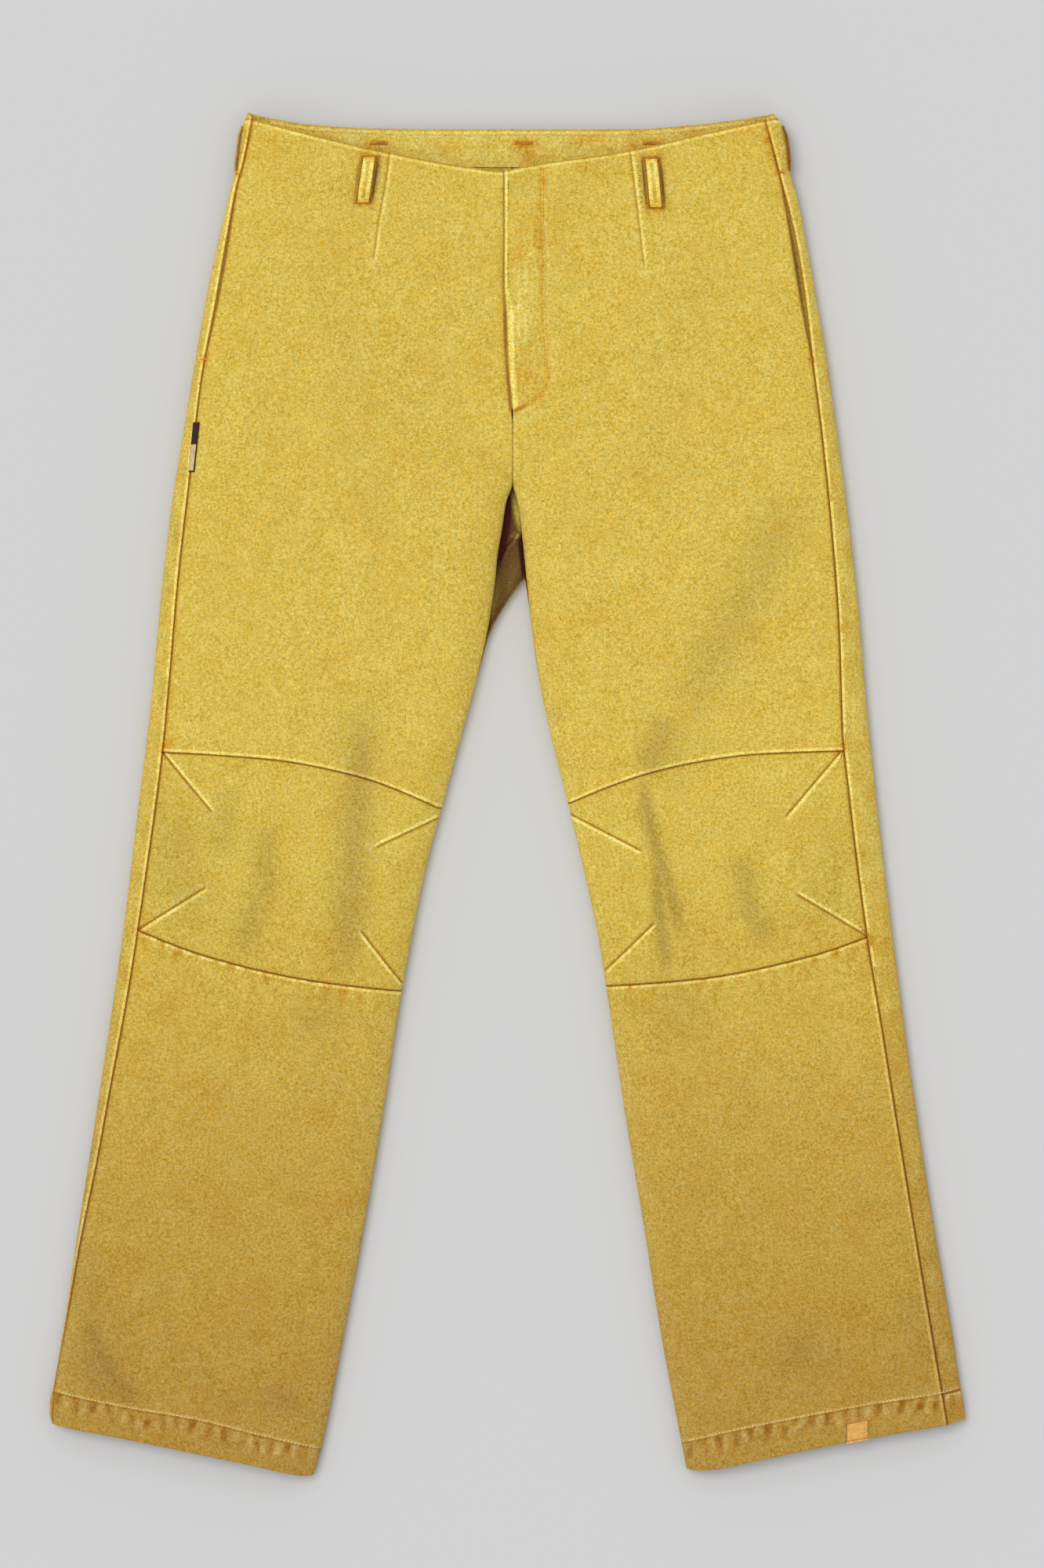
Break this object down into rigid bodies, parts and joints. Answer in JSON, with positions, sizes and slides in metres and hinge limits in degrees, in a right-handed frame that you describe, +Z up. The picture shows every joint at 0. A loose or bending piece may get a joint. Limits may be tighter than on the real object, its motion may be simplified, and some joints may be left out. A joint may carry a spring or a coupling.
{
  "type": "work trousers",
  "caption": "Canvas work trousers laid flat, with darted articulated knees, a concealed zip fly, belt loops, slanted side pockets and turned hems.",
  "frame": {"origin": "on the floor under the middle of the laid garment's box", "axes": "+X to the wearer's left, +Y from the hems to the waist, +Z up out of the front"},
  "size_m": [0.723, 1.078, 0.0303],
  "materials": {
    "canvas": "garment-washed mustard canvas, matt, mottled",
    "faded_canvas": "the same canvas where it fades to ochre below the knees",
    "facing": "self-cloth facing and pocketing, matt",
    "zip_tape": "woven zip tape",
    "brass": "antique brass, satin",
    "tag_brown": "woven tape, dark brown",
    "tag_cream": "woven tape, cream"
  },
  "bodies": {
    "seat": {"front_right_panel": "canvas", "front_left_panel": "canvas", "back_right_panel": "canvas", "back_left_panel": "canvas", "waist_facing_back": "facing", "waist_facing_front_right": "facing", "waist_facing_front_left": "facing", "pocket_bag_right": "facing", "pocket_bag_left": "facing", "fly_shield": "facing", "waist_tab": "facing", "zip_tape_right": "zip_tape", "zip_tape_left": "zip_tape", "zip_teeth_right": "brass", "zip_teeth_left": "brass", "zip_stop": "brass", "snap_stud": "brass", "belt_loop_front_right": "canvas", "belt_loop_front_left": "canvas", "belt_loop_side_right": "canvas", "belt_loop_side_left": "canvas", "belt_loop_back_right": "canvas", "belt_loop_back_centre": "canvas", "belt_loop_back_left": "canvas"},
    "fly_flap": {"fly_flap": "canvas", "snap_socket": "brass"},
    "zip_slider": {"zip_slider": "brass"},
    "zip_pull": {"zip_pull": "brass"},
    "side_tag": {"side_tag": "tag_brown", "side_tag_tip": "tag_cream"},
    "thigh_right": {"thigh_front_right": "canvas", "thigh_back_right": "canvas", "knee_panel_right": "canvas", "knee_back_right": "canvas"},
    "shin_right": {"shin_front_right": "faded_canvas", "shin_back_right": "faded_canvas", "hem_front_right": "faded_canvas", "hem_back_right": "faded_canvas"},
    "thigh_left": {"thigh_front_left": "canvas", "thigh_back_left": "canvas", "knee_panel_left": "canvas", "knee_back_left": "canvas"},
    "shin_left": {"shin_front_left": "faded_canvas", "shin_back_left": "faded_canvas", "hem_front_left": "faded_canvas", "hem_back_left": "faded_canvas", "hem_label": "tag_cream"}
  },
  "joints": [
    {"name": "hip_right", "type": "hinge", "parent": "seat", "child": "thigh_right", "pos_m": [-0.142, 0.14, 0.025], "axis": [-1, 0, 0], "range_deg": [0, 90]},
    {"name": "hip_left", "type": "hinge", "parent": "seat", "child": "thigh_left", "pos_m": [0.143, 0.14, 0.025], "axis": [-1, 0, 0], "range_deg": [0, 90]},
    {"name": "knee_right", "type": "hinge", "parent": "thigh_right", "child": "shin_right", "pos_m": [-0.182, -0.058, 0.0235], "axis": [1, 0, 0], "range_deg": [0, 100], "deforming": ["knee_panel_right", "knee_back_right"]},
    {"name": "knee_left", "type": "hinge", "parent": "thigh_left", "child": "shin_left", "pos_m": [0.178, -0.058, 0.0235], "axis": [1, 0, 0], "range_deg": [0, 100], "deforming": ["knee_panel_left", "knee_back_left"]},
    {"name": "fly_open", "type": "hinge", "parent": "seat", "child": "fly_flap", "pos_m": [0.0065, 0.307, 0.0242], "axis": [0.2684, 0.9633, 0], "range_deg": [0, 80]},
    {"name": "zip_travel", "type": "slide", "parent": "seat", "child": "zip_slider", "axis": [0, -1, 0], "range_m": [0, 0.105]},
    {"name": "zip_pull_flip", "type": "hinge", "parent": "zip_slider", "child": "zip_pull", "pos_m": [0.0065, 0.4537, 0.02315], "axis": [-1, 0, 0], "range_deg": [0, 150], "deforming": ["fly_flap"]},
    {"name": "side_tag_flip", "type": "hinge", "parent": "seat", "child": "side_tag", "pos_m": [-0.24754, 0.278, 0.0195], "axis": [0.118, 0.993, 0], "range_deg": [0, 120]}
  ]
}
